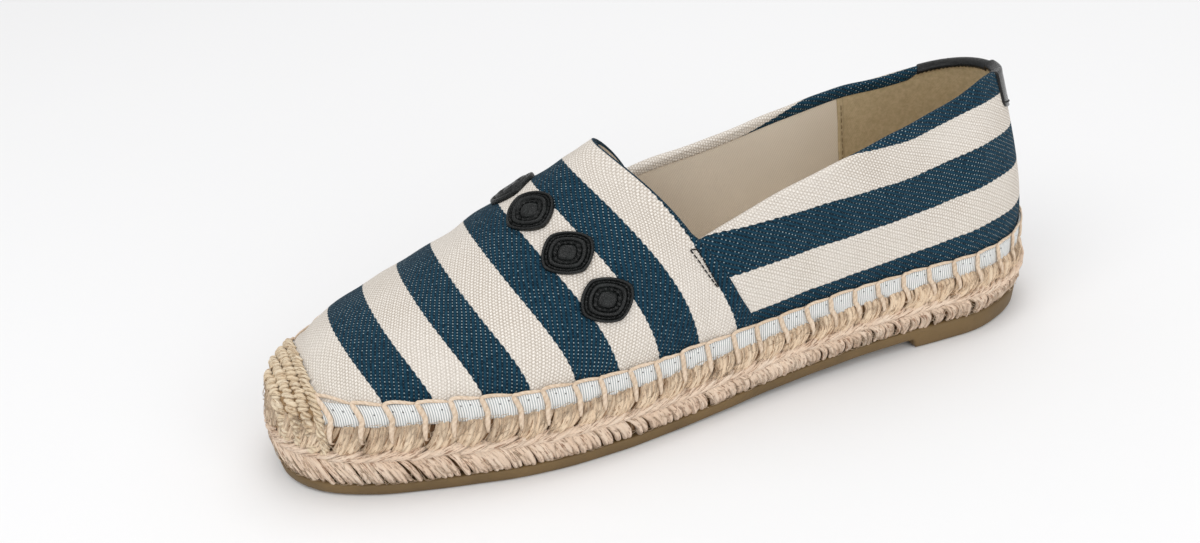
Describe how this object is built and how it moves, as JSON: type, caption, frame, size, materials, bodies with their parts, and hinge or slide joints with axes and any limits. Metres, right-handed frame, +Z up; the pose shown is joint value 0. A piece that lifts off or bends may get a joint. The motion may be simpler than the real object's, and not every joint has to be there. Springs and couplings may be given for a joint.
{
  "type": "espadrille",
  "caption": "Left slip-on espadrille: striped canvas upper open at the collar, rope midsole, thin rubber outsole, woven toe cap and leather heel tab.",
  "frame": {"origin": "on the ground, under the middle of the shoe's bounding box", "axes": "+X to the outer side of the left foot, +Y from the toe to the heel, +Z up"},
  "size_m": [0.0904, 0.2516, 0.0829],
  "materials": {
    "outsole": "matte olive-brown rubber",
    "midsole": "coiled jute rope",
    "insole": "fabric-covered footbed",
    "upper": "lined cotton canvas, striped navy and cream",
    "toe_cap": "woven jute cord",
    "heel_tab": "glossy black leather"
  },
  "bodies": {
    "root": {"outsole": "outsole", "midsole": "midsole", "insole": "insole", "upper": "upper", "toe_cap": "toe_cap", "heel_tab": "heel_tab"}
  },
  "joints": []
}
